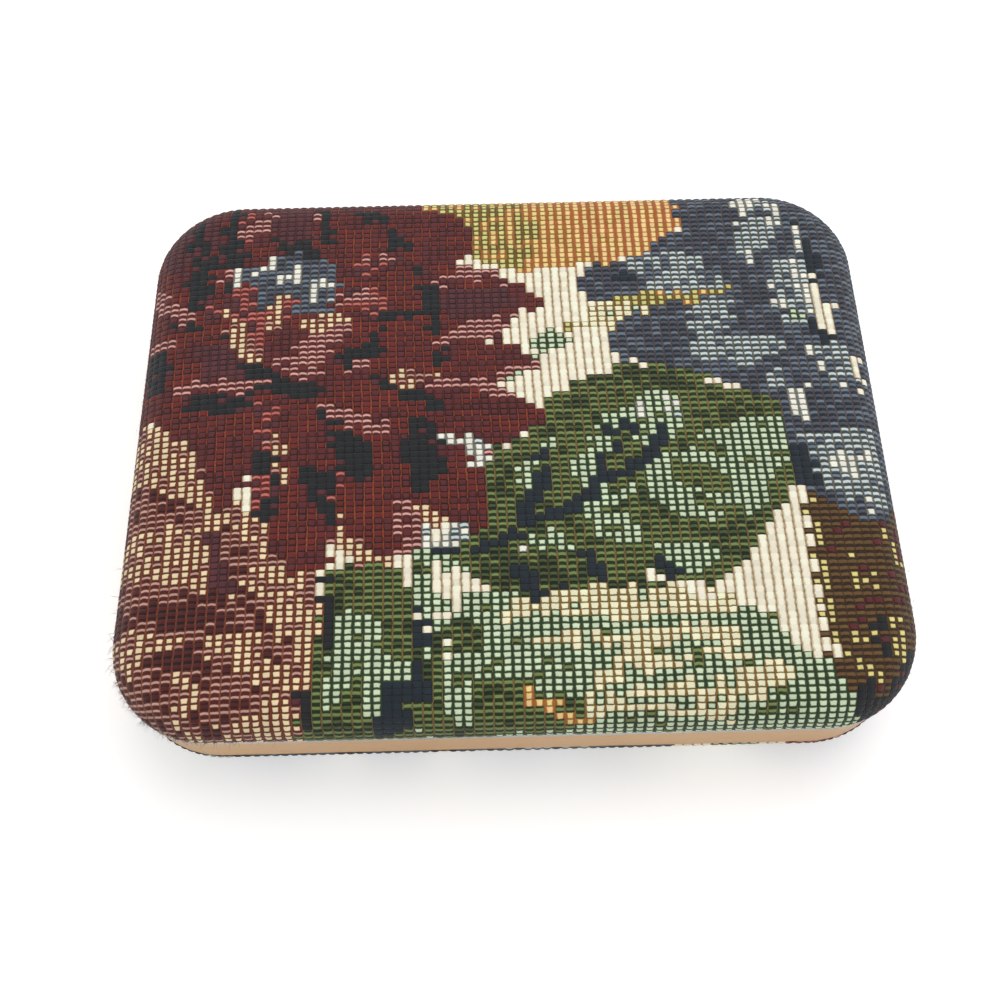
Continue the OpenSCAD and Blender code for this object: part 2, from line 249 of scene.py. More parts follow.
# the design in millimetres on the cloth, x to the right and y to the back, laid down in order:
# a patch is a yarn and the outlines that it fills, a vein is a yarn, a width and a line
patches = [
    ("cream", [(-70, -60), (70, -60), (70, 60), (-70, 60)]),
    # the ground that shows between the leaf, the small flower and the brown one
    ("cream", [(38, -12), (40, -9), (41.4, -20), (42, -35), (36, -32), (30, -24), (34, -19)]),
    # rust flower at the front left
    ("rust", [(-62, 3), (-50, 1), (-45, -2), (-40, -5), (-37, -12), (-34, -12), (-30, -20), (-26, -23),
     (-25, -35), (-28, -46), (-62, -50)]),
    ("rustDash", [(-60, -8), (-50, -8), (-44, -11), (-42, -14), (-48, -14), (-60, -17)], [(-60, -22),
     (-46, -22), (-38, -25), (-36, -23), (-34, -25), (-31, -30), (-36, -29), (-40, -29), (-47, -29),
     (-56, -26)], [(-40, -14), (-36, -16), (-35, -20), (-37, -23), (-40, -21)]),
    ("rustDark", [(-42, -24), (-38, -23), (-37, -28), (-41, -30), (-50, -28), (-57, -30), (-56, -27)],
     [(-50, -34), (-44, -31), (-40, -32), (-39, -44), (-45, -44), (-50, -40)]),
    ("rustDash", [(-40, -33), (-34, -35), (-33, -40), (-40, -41)], [(-60, -36), (-47, -34), (-44, -36),
     (-45, -46), (-60, -48)]),
    ("rust", [(-44, -33), (-41, -36), (-41, -46), (-44, -46)]),
    ("rustDash", [(-34, -31), (-29, -30), (-28, -34), (-32, -33)]),
    ("plum", [(-42, -15), (-40, -15), (-39, -19), (-37, -23), (-40, -23), (-41, -18)]),
    # maroon flower
    ("maroon", [(-62, 48), (-12, 48), (-11, 40.5), (-7, 37), (-5, 34), (-5, 31), (-8, 28.3), (-6, 27),
     (0, 25.6), (3, 23), (6, 20.5), (0, 18.5), (-4, 14.5), (0, 14), (4, 11), (3, 9), (-2, 7.5), (0, 6),
     (3.5, 4), (5, 1), (1, -1.5), (-2, -4), (-4, -8), (-2, -14), (-7, -17), (-12, -12), (-14, -19),
     (-21, -20), (-24, -17), (-26, -21), (-31, -20), (-33, -15), (-34, -8), (-36, -10), (-37, -7),
     (-40, -12), (-44, -4), (-50, 2), (-62, 5)]),
    ("redMaroon", [(-44, 20), (-38, 13), (-30, 9), (-28, 2), (-30, -6), (-27, -18), (-32, -16),
     (-36, -4), (-42, 2), (-50, 8), (-52, 14)], [(-25, 34), (-20, 34), (-19, 27), (-11, 26), (-12, 18),
     (-18, 15), (-24, 20)], [(-20, 17), (-11, 17), (-11, 9), (-18, 9), (-21, 12)], [(-24, 7), (-13, 7),
     (-12, 1), (-20, -2), (-26, 2)], [(-24, -5), (-5, -4), (-4, -12), (-12, -11), (-14, -18),
     (-21, -18)]),
    ("plum", [(-52, 36), (-45, 38), (-44, 33), (-50, 28), (-53, 30)], [(-36, 40), (-29, 40), (-29, 33),
     (-35, 33)], [(-46, 15), (-36, 14), (-35, 9), (-44, 9)], [(-10, 23), (0, 24), (2, 20), (-8, 18)]),
    # dark gaps between its petals
    ("black", [(-48, 37), (-46, 36), (-44, 27), (-46, 20), (-48, 25)], [(-42.5, 40), (-40.5, 40),
     (-39.5, 32), (-41, 22), (-43, 30)], [(-28.5, 40), (-26, 38), (-26, 33), (-28.5, 32)], [(-36, 34),
     (-29, 33), (-29, 29), (-33, 31)], [(-23, 39), (-18, 38), (-17, 36), (-22, 36)], [(-18, 35),
     (-15.5, 35), (-14, 31), (-18, 31.5)], [(-14, 29), (-11, 27), (-10.5, 25), (-13, 26)], [(-12.5, 24),
     (-10, 24), (-9.5, 16.5), (-11.5, 16), (-11.5, 19), (-19, 17.8), (-18, 19.5), (-13, 20)],
     [(-18, 17), (-22, 14), (-25, 12), (-22, 10), (-19, 12)], [(-10.5, 14), (-9, 13.5), (-8.5, 9),
     (-10.5, 9)], [(-42, 17), (-39, 15), (-37, 12), (-33, 9), (-29, 9), (-27, 6), (-32, 5.5), (-36, 8),
     (-39, 12)], [(-49.5, 20), (-45, 19), (-45, 17.5), (-49, 17)], [(-54, 14), (-50, 15), (-49, 8),
     (-54, 6)], [(-36, 7), (-47, 7), (-46, 3.5), (-38, 3)], [(-20, 8.5), (-16, 8), (-12, 6), (-9, 3.5),
     (-13, 4)], [(-27, 5), (-24, 3.5), (-22, 0), (-26, 1)], [(-25, 0), (-20, -2), (-19, -8), (-22, -7),
     (-25, -3)], [(-35, -1), (-33, -3), (-32, -12), (-35, -13), (-36, -6)], [(-29, -6), (-24, -6),
     (-24, -15), (-27, -12)], [(-14, 2), (-10, 0), (-9.5, -7), (-13, -10), (-15, -4)]),
    # pale edges of its petals
    ("roseDash", [(-40.5, 38), (-36, 39.5), (-35.8, 36), (-39, 33), (-40.5, 34)]),
    ("pinkDash", [(-38.5, 38), (-36, 39.6), (-35.8, 35.5), (-40, 33.5), (-40.5, 36.5)], [(-29.2, 40),
     (-28, 40), (-28, 36.5), (-29.2, 36.5)], [(-53.5, 25.5), (-50, 23.5), (-46.5, 21), (-45.5, 19),
     (-49, 19.2), (-53, 21.5)], [(-43.5, 28), (-41, 29.5), (-41, 27), (-43.2, 25)]),
    ("roseDash", [(-44, 23), (-42, 21.5), (-42, 18.5), (-44.3, 19.5)], [(-40.3, 26), (-36, 22),
     (-36, 14), (-39.5, 16), (-40.5, 20)], [(-34.5, 24.5), (-31.5, 24), (-31, 18), (-34.5, 20)]),
    ("pinkDash", [(-54, 15.5), (-49, 16.5), (-48, 15), (-53, 14)], [(-48.5, 6.8), (-46, 8.8), (-42, 9),
     (-35, 8.8), (-35, 8), (-39, 6.6), (-43, 7.2)]),
    ("roseDash", [(-23, 27), (-21, 30), (-15.5, 30.8), (-15, 29.3), (-18, 28.5), (-20, 26.8)]),
    ("pinkDash", [(-22, 28), (-20.5, 30.2), (-16, 30.8), (-15, 29.6), (-19, 29)]),
    ("roseDash", [(-24.5, 22), (-23.5, 24), (-18.5, 24), (-18.3, 18.5), (-20, 18.5), (-22, 20)]),
    ("pinkDash", [(-24.8, 23), (-19, 23.8), (-19.5, 22.3), (-24.5, 21)], [(-30, 17.5), (-27, 18.5),
     (-22.5, 18), (-25, 14.5), (-30, 12.8)], [(-34.5, 12.5), (-29, 12.8), (-25, 13.4), (-28, 9.7),
     (-24, 9.7), (-20, 12.5), (-20.5, 10), (-25, 9), (-31, 9), (-34, 11)], [(-10.8, 24.8), (-9, 26.4),
     (-6, 27.7), (-2, 27), (0.5, 25.5), (1.5, 23.2), (-1, 24.4), (-4, 25)], [(-10, 14), (-7, 17),
     (-1, 18.4), (1.5, 18.2), (-1, 16), (-2, 14.6), (-6, 14)], [(-2, 8.5), (0, 10.1), (4.5, 10.3),
     (3, 9), (0, 8)], [(-12, 7), (-9, 8), (-4, 8), (-1, 7), (1, 4.6), (-1, 4.5), (-4, 6), (-8, 6.2)],
     [(-26.5, 4.5), (-21, 3.2), (-17, 1.5), (-16, -0.5), (-20, -0.5), (-23, 1), (-26, 2.8)],
     [(-8, -1.5), (-4, -3), (-1, -3.3), (-3, -4.4), (-6, -3.8)]),
    ("roseDash", [(-36, 5), (-33, 4), (-33, -3), (-35.5, -3)], [(-36, -7), (-33.5, -7), (-34, -12),
     (-36, -12)], [(-24.5, -6.5), (-23, -6.5), (-23, -11), (-24.5, -11)]),
    ("pinkDash", [(-16.5, -12), (-14, -10.5), (-12.5, -13), (-13, -18), (-15.5, -18.5)]),
    # cream tips and the pale tuft in its middle
    ("rust", [(-41.5, 20), (-39.8, 19.5), (-36, 14), (-36, 11.5), (-38.5, 12), (-41, 16)], [(-35, 22),
     (-32.5, 24), (-33, 21), (-34, 16.5), (-35, 18)], [(-31, 19), (-24, 20), (-23, 18.5), (-29, 16)],
     [(-17, 9.2), (-9.8, 9.2), (-9.8, 8), (-15, 6.6), (-17, 7.6)]),
    ("white", [(-10, -1), (-7.5, -1.2), (-3.5, -2), (-2.5, -5), (-4.5, -6.5), (-6, -3.5), (-9, -2.2)]),
    ("rust", [(-24, -10.5), (-23, -15), (-18, -19), (-14, -19.5), (-19, -21), (-24, -18)]),
    ("cream", [(-24, -18), (-22, -18.5), (-22, -21.5), (-25.5, -22.5)]),
    ("rust", [(-12.5, -11.5), (-10, -12.5), (-7, -15), (-12, -15)], [(-34, -1), (-32, -1), (-31, -7.5),
     (-32, -7.5), (-33, -4)]),
    ("blueGrey", [(-41, 28.5), (-36, 29), (-34.5, 31), (-30, 30.5), (-25.5, 28), (-25, 23.5),
     (-27.5, 20), (-31, 20), (-32, 24), (-36, 20.5), (-38, 25)]),
    ("white", [(-41, 29), (-39.6, 29.5), (-39.6, 25), (-41, 25)], [(-38, 28), (-36.8, 28),
     (-36.8, 24.5), (-38, 24.5)], [(-36.6, 30), (-34.4, 31), (-34.4, 28.5), (-36.6, 27)], [(-33.8, 28),
     (-32.8, 28), (-32.8, 25), (-33.8, 25)], [(-32.4, 29.5), (-31.6, 29.5), (-30.6, 25.5), (-32, 26)],
     [(-29.8, 26.5), (-28.6, 26), (-27.6, 20), (-28.8, 20.2)], [(-28.6, 27.2), (-27.6, 27.2),
     (-27.6, 23), (-28.6, 23)], [(-27.2, 26.5), (-26.4, 26.5), (-26.2, 22), (-27.2, 22)]),
    # gold petals at the back
    ("olive", [(-12, 48), (2, 48), (7, 33), (9, 29.5), (5, 26.4), (0, 27.5), (-4.8, 29.6), (-5.2, 34.5),
     (-7, 37.2), (-11, 38.8), (-12.5, 40.5)]),
    ("gold", [(1, 48), (30, 48), (27.5, 40), (26.5, 34), (21.5, 29.6), (16, 28), (6, 27), (3, 27),
     (6, 33)]),
    ("orange", [(9, 48), (30, 48), (27.5, 40), (27.5, 35), (26, 33.8), (21.5, 30), (17, 28.5), (13, 30),
     (11, 34)]),
    ("gold", [(0, 38), (1.5, 40), (1.8, 33), (0, 33)]),
    # blue flower at the back right
    ("blueGrey", [(28, 48), (62, 48), (62, -14), (50, -15.5), (46, -15), (44, -13), (40, -10), (39, -3),
     (37, 4), (31, 6.5), (26, 9), (16.5, 11), (14.8, 15), (17, 16.5), (17.5, 20), (12, 22),
     (12.5, 27.4), (20, 28.2), (24, 31.5), (27.5, 34)]),
    ("blueDark", [(27, 40), (36, 40.5), (36, 34), (34, 30), (26, 30), (24, 32), (28, 35)], [(16, 15),
     (20, 20), (28, 20), (27, 14), (24, 10), (17, 11)], [(29, 28), (36, 29), (40, 22), (42, 12),
     (38, 4), (33, 8), (38, 15), (34, 20), (33, 25)], [(13, 28), (20, 27), (19, 24.6), (14, 25)],
     [(17, 22), (22, 23.5), (20, 25.5), (15, 23)], [(43, 6), (50, 5), (54, -4), (44, -2)]),
    ("navy", [(17, 26), (20, 26), (20, 24.6), (17, 24.6)], [(29, 14), (34, 14.6), (36, 13.4),
     (33, 12.2), (29, 12.8)], [(38.5, -3.5), (43, -4.5), (43.5, -9.5), (39.5, -9.5)], [(44, 36),
     (46, 33), (48, 26), (47, 18), (50, 13), (48, 10), (45.5, 15), (46, 26)]),
    ("blueLight", [(20, 29), (27, 30), (31, 28.5), (28, 26), (20, 25)], [(22, 25), (31, 25), (34, 23.5),
     (31, 21.5), (23, 22.3)], [(28, 20), (33, 22), (33, 16), (28, 14), (27, 16)], [(27, 14), (37, 14.5),
     (41, 13), (37, 10), (29, 10)], [(36, 35), (42, 36), (41, 30), (36, 29)], [(41, 28), (46, 28),
     (45, 16), (41, 16)], [(37, 8), (40, 9), (40, 6), (37, 6)], [(45, 13), (50, 13), (51, 5), (46, 6)],
     [(41, -2), (52, -1), (52, -14), (44, -11)]),
    ("olive", [(15, 21), (22, 22.6), (27, 22), (34, 23.4), (34, 22.6), (27, 20.6), (20, 20.3),
     (15, 20)]),
    ("paleLeaf", [(13, 19.8), (20, 20), (19, 16.5), (16, 16), (13, 17)]),
    ("blueGrey", [(16, 18), (20, 18.5), (20, 15), (16, 15)]),
    ("white", [(36.3, 40.3), (41.5, 40.3), (41, 37.5), (37.6, 37.5), (37, 35), (36.3, 35)], [(41.2, 39),
     (43.4, 39), (43, 34.5), (41.2, 34)], [(44.6, 35), (46, 34), (45.4, 29), (44.8, 29)], [(37, 30),
     (37.8, 30), (38.6, 27), (37.2, 27)], [(39.3, 25.5), (40.2, 25), (41.8, 18.5), (40.2, 20)],
     [(43.5, 28), (45.5, 25), (46.5, 26), (46.4, 17), (45.2, 18)]),
    ("cream", [(45.3, 25), (46.4, 25), (47.5, 20), (49, 20.5), (48.8, 17.5), (47.6, 15), (46.6, 16),
     (46, 20)]),
    ("white", [(41.8, 19), (42.6, 18), (43, 12), (42.2, 12.5)], [(43.6, 12), (45, 9), (48, 5),
     (48.6, 5.8), (46, 9), (44.4, 12)], [(40.6, 5), (43.2, 6), (42.6, 0), (40.4, 0.6)]),
    ("cream", [(50.6, 10.5), (52.2, 10.8), (52.2, 5), (51, 5.6)]),
    ("white", [(50, 0), (51.2, 0), (51.4, -7), (50.4, -7)], [(45, -5), (49.5, -5), (49, -9.5),
     (45.4, -9.5)], [(48.3, -11), (49.3, -11), (49.4, -15), (48.4, -14)]),
    ("mintLeaf", [(42, 18.5), (45, 18.5), (44.6, 16.6), (42, 17)]),
    # small leaf bits on the cream ground
    ("mintLeaf", [(3.5, 14), (6, 15.8), (9, 15.4), (9.5, 13.6), (6.5, 13), (4, 10.8), (3.6, 12)],
     [(-0.6, 8.4), (2, 8.6), (1.4, 6.8), (-0.4, 7)]),
    # brown flower at the right
    ("brown", [(40.5, -10.5), (44, -13), (50, -15.5), (62, -14), (62, -50), (42, -50), (41, -34),
     (40.6, -20)]),
    ("brownGold", [(40, -12), (42.4, -12), (42.4, -33), (40.8, -33)], [(44.4, -19.5), (45.4, -19.5),
     (46, -25), (45, -25)], [(46, -22), (49, -23), (49, -25), (46.4, -24.4)], [(49.5, -16), (53, -17),
     (53, -22), (51, -21)], [(42, -29), (48, -31), (49, -33.5), (44, -32)], [(48.8, -28), (51.5, -30),
     (51, -35), (49, -34)], [(43, -33), (48, -37.4), (47, -38.4), (42.6, -34.6)]),
    ("black", [(47, -28), (48.8, -28.5), (48.4, -35), (46.6, -33)], [(52, -34), (62, -34), (62, -52),
     (42, -52), (43, -41), (48, -39.6)], [(44, -37.5), (48, -38), (46, -40), (43.6, -39)]),
    ("cream", [(40.8, -32), (42, -33), (41.9, -35.4), (41.4, -34.8)]),
    # pale leaf at the front
    ("mintLeaf", [(-13, -18), (-8, -18.6), (-3, -19), (-4, -21), (-8, -21.5), (-10, -24), (-3, -24.6),
     (3, -25), (14, -23.4), (22, -23.6), (28, -26.5), (34, -28), (39, -33), (41, -36), (42, -50),
     (-14, -50), (-12, -34), (-11, -26)]),
    ("paleLeaf", [(3, -24.8), (14, -23), (22, -23.6), (31, -27), (24, -28.6), (14, -29), (8, -28),
     (2, -27.4), (-3, -29.6), (-1, -27)], [(13, -29.6), (20, -28.4), (26, -29), (30, -31), (29, -34.6),
     (24, -33.4), (20, -36), (15, -35), (11, -32)], [(2, -31.4), (10, -30), (13, -33), (10, -36),
     (6, -38), (12, -40), (20, -38), (14, -36.8), (17, -33)], [(20, -37.4), (28, -36), (35, -34.6),
     (35, -37.6), (28, -40), (28, -43), (18, -41), (9, -41), (10, -38.6)]),
    ("cream", [(35, -28.6), (37.6, -30), (40, -33.6), (38, -33.6), (35, -31)]),
    ("greenLeaf", [(-10, -30), (-4, -29), (-5, -32), (-9, -34), (-9.6, -38), (-4, -36), (4, -37.5),
     (8, -40.4), (6, -43), (-10, -45), (-12, -38)]),
    ("mintLeaf", [(-9.6, -33), (-6, -33.6), (-5.4, -41), (-8.6, -42), (-9.8, -37)]),
    ("gold", [(1.4, -37.4), (6, -40.2), (10, -42), (8, -43), (4, -41), (1, -38.6)]),
    # small leaf with its dark rim
    ("greenLeaf", [(-25, -22), (-21, -20.4), (-15, -20.6), (-12, -23), (-13, -28), (-12.4, -38),
     (-14, -46), (-27, -46), (-28, -40), (-26, -34)]),
    ("mintLeaf", [(-24, -27.6), (-18, -27.8), (-17.6, -33), (-20.6, -35), (-24.4, -40), (-24.6, -36)],
     [(-20, -33.4), (-14, -33), (-14.4, -38), (-18, -41), (-20, -38)], [(-13, -18.6), (-10, -17),
     (-10.6, -29), (-12.6, -26)]),
    ("cream", [(-15, -19), (-14, -19), (-14, -23.5), (-12.6, -25.5), (-13.6, -21.6)], [(-11, -20.4),
     (-9.4, -21), (-9, -22.6), (-6.6, -24), (-8, -27.4), (-9.8, -24), (-11.2, -22)], [(-10, -27.4),
     (-9, -27.6), (-9, -33), (-10.2, -34)]),
    ("black", [(-25.8, -22), (-24.8, -22), (-24, -24.6), (-23.6, -31.6), (-25, -31)]),
    ("navy", [(-12.6, -26.6), (-11.4, -28), (-11.6, -37), (-10.8, -38.6), (-14, -38.8), (-13, -33)]),
    ("black", [(-28.6, -37), (-26.6, -36.4), (-26.4, -41), (-27.6, -42)]),
    ("navy", [(-16.6, -36.4), (-14, -36.6), (-14.6, -43), (-19, -44), (-17.6, -40)]),
    # large green leaf
    ("greenLeaf", [(-7, -17.6), (-3, -14), (-4, -8), (-2, -4), (2, -1.6), (5, 0.5), (5.4, 4), (9, 6.5),
     (14, 8.6), (18, 10), (25, 9), (31, 6.2), (37, 4), (39, 0), (39, -9), (37, -13.5), (34, -17),
     (31, -21), (26, -24), (21, -23.2), (13, -23), (9, -24.2), (3, -25), (-3, -24), (-6, -21),
     (-10, -18)]),
    ("darkGreen", [(12, 8), (22, 9), (30, 6), (28, 5), (16, 6.6)], [(-4, -19), (4, -19), (14, -22.6),
     (24, -23.8), (9, -24), (-2, -23.6)], [(28, 4.6), (36, 3), (36, -1), (32, -1)], [(26, -19),
     (31, -20.6), (35, -15.6), (30, -16)]),
    ("mintLeaf", [(12, 0), (20, 5), (25, 4.6), (24, -1), (19, -6), (17.6, -2), (15, -1)], [(8.4, -5),
     (12, -1), (14.4, -1.4), (13.4, -5.6), (10.4, -10.6), (9.4, -9)], [(0.6, -6), (3.6, -4.6), (4, -9),
     (1.6, -11)], [(4, -2), (6.6, -2), (5.4, -5), (4.6, -5)], [(26, -2), (33, 0), (38.6, 0), (38, -7),
     (32, -6), (29, -3.4)], [(20, -5), (30, -5), (36, -8), (33, -14), (24, -14.6), (19, -11)],
     [(7, -12), (18, -9), (16, -12), (9, -13.6)], [(10, -13), (16, -14), (17.6, -17.6), (12, -17.4)],
     [(1, -17.4), (6, -15.6), (9, -19.6), (6, -19)], [(19.6, -18.6), (24, -18), (28.6, -19),
     (26, -21.6), (24, -22.6), (21, -21)]),
    ("greenLeaf", [(23, -6), (28, -7), (31, -10), (27, -10.4), (22, -8.6)], [(25, -11), (31, -13),
     (33, -16), (27, -13.6)]),
    ("white", [(-12.4, -15), (-11.4, -14.4), (-10.8, -16.6), (-7.6, -14.6), (-6.2, -15), (-6.4, -18),
     (-10, -17.6), (-12, -17)], [(1, -17.4), (1.8, -17.4), (1.8, -18.8), (1, -18.8)], [(18, 4),
     (19.2, 3.6), (19.4, 0.6), (18.2, 0.8)], [(22, 5), (23.4, 4.6), (24, 1), (22.6, 1.4)]),
    ("navy", [(-1, -22), (1.4, -20.8), (3.4, -23), (4, -25.4), (2.4, -25.4), (1, -23.6)], [(8.4, -19.2),
     (10, -19.4), (13.2, -22.6), (12.6, -23.4), (10, -22)], [(18.6, -19), (20, -20.6), (24, -22.6),
     (22, -23), (19, -21.4)], [(4, -23.8), (8, -23.8), (8, -24.6), (4, -24.6)]),
]
veins = [
    ("navy", 0.9, [(-10.5, -18.4), (-5, -18.2), (-2, -17.6), (1, -15.6)]),
    ("navy", 1.8, [(-1, -17), (2, -14.8), (6, -13.2), (9, -12), (11, -10.2), (13, -8)]),
    ("navy", 1.7, [(1.2, -14.6), (3, -11.4), (4.4, -9), (4.6, -6), (4, -4.8)]),
    ("navy", 1.6, [(10.6, -10.4), (12.4, -7.6), (13.4, -5)]),
    ("navy", 1.5, [(14.2, -1.4), (15, -4)]),
    ("navy", 1.7, [(13, -9), (16, -7), (18.6, -5.4)]),
    ("navy", 1.9, [(16.4, 0.2), (17.8, -1.4)]),
    ("navy", 1.8, [(16, -7), (19.4, -4.8), (21, -2.8), (22, -0.8)]),
    ("paleLeaf", 0.9, [(9, 17), (13, 16.8), (17, 18.4), (21, 19.4)]),
    ("olive", 0.9, [(9.4, 16.2), (13, 16.4)]),
    ("mintLeaf", 1.0, [(-3, -33.6), (4, -32.4), (10, -33.6), (14, -35.6), (20, -36.6)]),
    ("mintLeaf", 1.0, [(0, -29.8), (8, -29.4), (14, -29.8), (22, -28.4), (30, -29.6), (34, -31.6)]),
    ("mintLeaf", 1.0, [(4, -38), (12, -38), (20, -36.8), (28, -35), (35, -34)]),
    ("mintLeaf", 0.9, [(10, -39.8), (18, -39.4), (26, -40), (36, -40)]),
    ("mintLeaf", 0.9, [(18, -33), (24, -32.2), (30, -32.8)]),
    ("cream", 1.0, [(18.4, -22.6), (24.6, -25), (26, -26)]),
]


def inside(outline, x, y):
    # which points lie within a closed outline
    found = np.zeros(x.shape, bool)
    last = outline[-1]
    for point in outline:
        (ax, ay), (bx, by) = last, point
        if ay != by:
            crosses = (ay > y) != (by > y)
            found ^= crosses & (x < (bx - ax) * (y - ay) / (by - ay) + ax)
        last = point
    return found


def rounded(outline, steps=6):
    # a closed smooth curve through the points of an outline
    points = np.array(outline, float)
    a, b, c, d = (np.roll(points, shift, 0)[:, None] for shift in (1, 0, -1, -2))
    t = (np.arange(steps) / steps)[None, :, None]
    curve = 2 * b + (c - a) * t + (2 * a - 5 * b + 4 * c - d) * t ** 2 + (3 * b - a - 3 * c + d) * t ** 3
    return (curve / 2).reshape(-1, 2)


def nearLine(line, x, y):
    # how far points lie from an open line
    best = np.full(x.shape, 1e9)
    for (ax, ay), (bx, by) in zip(line, line[1:]):
        dx, dy = bx - ax, by - ay
        along = np.clip(((x - ax) * dx + (y - ay) * dy) / (dx * dx + dy * dy), 0, 1)
        best = np.minimum(best, np.hypot(x - ax - along * dx, y - ay - along * dy))
    return best


def designAt(x, y):
    # the number of the yarn at each point of the cloth; outlines with four corners stay straight
    names = list(yarns)
    found = np.zeros(x.shape, int)
    for yarn, *outlines in patches:
        for outline in outlines:
            curve = rounded(outline) if len(outline) > 4 else outline
            found[inside(curve, x, y)] = names.index(yarn)
    for yarn, width, line in veins:
        found[nearLine(line, x, y) < width / 2] = names.index(yarn)
    return found


def mixedYarns(kind, chance):
    # chance: a normal random number for each cell
    names = list(yarns)
    rank = 0.5 + 0.5 * np.tanh(chance * 0.8)
    found = kind.copy()
    for name, (other, share) in mixes.items():
        found[(kind == names.index(name)) & (rank < share)] = names.index(other)
    return found


# Woven cloth over the lid and under the base

# lengths in mm
cloth = {
    "columnPitch": 1.297,
    "rowPitch": 0.905,
    "quadsPerCell": 3,
    "spare": (3, 2),  # woven past the hem at the sides and at the ends
    "hem": 0.8,  # turned in under the edge
    "bowWidth": 18.0,  # the columns lean most within this distance of the middle
    "bowSlope": 0.052,
    "bowMiddle": 2.0,
    "droop": 1.0,  # the rows sag at the left, past droopFrom
    "droopFrom": 25.0,
    "relief": 0.2,
    "columnRise": 0.75,
    "rowRise": 0.25,
    "sunk": 0.9,
    "uneven": 0.06,
    "reliefFade": 1.5,  # the relief dies away over this distance from the hem
    "straySide": 0.3,  # how far cells stray from the design
    "strayUp": 0.28,
    "shade": (0.86, 0.2, 0.08),  # darkest, spread over cells, spread over columns
    "shareSpread": (0.9, 0.2),
}
lid = {
    "half": [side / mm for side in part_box("lid_cloth")[1]][:2],
    "corner": 13.6,
    "edge": 5.0,
    "level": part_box("lid_cloth")[1].z / mm,
    "up": 1,
    "crown": 1.1,
    "seed": 11,
}
base = {
    "half": [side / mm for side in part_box("base_cloth")[1]][:2],
    "corner": 13.5,
    "edge": 7.0,
    "level": 0.12,
    "up": -1,
    "crown": 0,
    "shift": (71, 23),  # where its middle lies in the design
    "span": (54, 42),
    "seed": 23,
}


def placeInDesign(u, v):
    # column and row to mm on the cloth
    y = v * cloth["rowPitch"]
    lean = cloth["bowWidth"] * cloth["bowSlope"] * np.tanh((y - cloth["bowMiddle"]) / cloth["bowWidth"])
    x = u * cloth["columnPitch"] - lean
    return x, y - cloth["droop"] * (np.maximum(-cloth["droopFrom"] - x, 0) / cloth["droopFrom"]) ** 2


def pastFlat(tray, x, y):
    # how far points lie outside the flat part of a tray, and the direction away from it
    corner = tray["corner"] - tray["edge"]
    qx, qy = (np.abs(place) - (side - tray["edge"] - corner) for place, side in zip((x, y), tray["half"]))
    ox, oy = np.maximum(qx, 0), np.maximum(qy, 0)
    far = np.hypot(ox, oy)
    safe = np.maximum(far, 1e-9)
    away = far + np.minimum(np.maximum(qx, qy), 0) - corner
    return away, np.sign(x) * ox / safe, np.sign(y) * oy / safe


def rollOver(tray, u, v, rng):
    # lays the cloth over the tray, round its edge and under it; tells what lies past the hem
    edge, up = tray["edge"], tray["up"]
    reach = edge * math.pi / 2
    limit = reach + cloth["hem"]
    x, y = placeInDesign(u, v)
    away, nx, ny = pastFlat(tray, x, y)
    over = np.maximum(away - limit, 0)
    d = np.minimum(away, limit)
    angle = np.clip(d / edge, 0, math.pi / 2)
    sideways = np.where(d > 0, edge * np.sin(angle) - np.maximum(d - reach, 0) - d, 0) - over
    x, y = x + nx * sideways, y + ny * sideways
    crown = tray["crown"]
    for place, side in zip((x, y), lid["half"]):
        crown = crown * np.clip(1 - (place / side) ** 2, 0, 1)
    z = tray["level"] + up * (crown - np.where(d > 0, edge * (1 - np.cos(angle)), 0))
    parts = cloth["quadsPerCell"]
    raised = (u * parts % parts > 0.5) * cloth["columnRise"] + (v * parts % parts > 0.5) * cloth["rowRise"]
    height = raised - cloth["sunk"] + rng.normal(0, cloth["uneven"], u.shape)
    height = cloth["relief"] * height * np.clip((limit - d) / cloth["reliefFade"], 0, 1)
    tilt = np.sin(angle) * height
    return np.stack([x + nx * tilt, y + ny * tilt, z + up * np.cos(angle) * height], -1), away > limit


def wovenCloth(name, tray):
    limit = tray["edge"] * (math.pi / 2 - 1) + cloth["hem"]
    pitches = cloth["columnPitch"], cloth["rowPitch"]
    columns, rows = (math.ceil((side + limit + spare) / pitch)
                     for side, spare, pitch in zip(tray["half"], cloth["spare"], pitches))
    parts = cloth["quadsPerCell"]
    lines = [np.arange(-count * parts, count * parts + 1) / parts for count in (columns, rows)]
    u, v = np.meshgrid(*lines, indexing="ij")
    places, outside = rollOver(tray, u, v, np.random.default_rng(tray["seed"]))
    index = np.arange(u.size).reshape(u.shape)
    quads = np.stack([index[:-1, :-1], index[1:, :-1], index[1:, 1:], index[:-1, 1:]], -1).reshape(-1, 4)
    quads = quads[~outside.ravel()[quads].all(1)][:, ::tray["up"]]
    used, quads = np.unique(quads, return_inverse=True)
    quads = quads.reshape(-1, 4)
    piece = addPiece(name, places.reshape(-1, 3)[used], quads.tolist())
    grid = np.stack([u.ravel()[used], v.ravel()[used]], -1)
    weave = piece.data.uv_layers.new(name="weave")
    weave.data.foreach_set("uv", grid[quads.ravel()].ravel())
    cells = np.floor(grid[quads].mean(1) + 1e-6)
    colourCells(piece.data, tray, cells, columns, rows)
    return piece


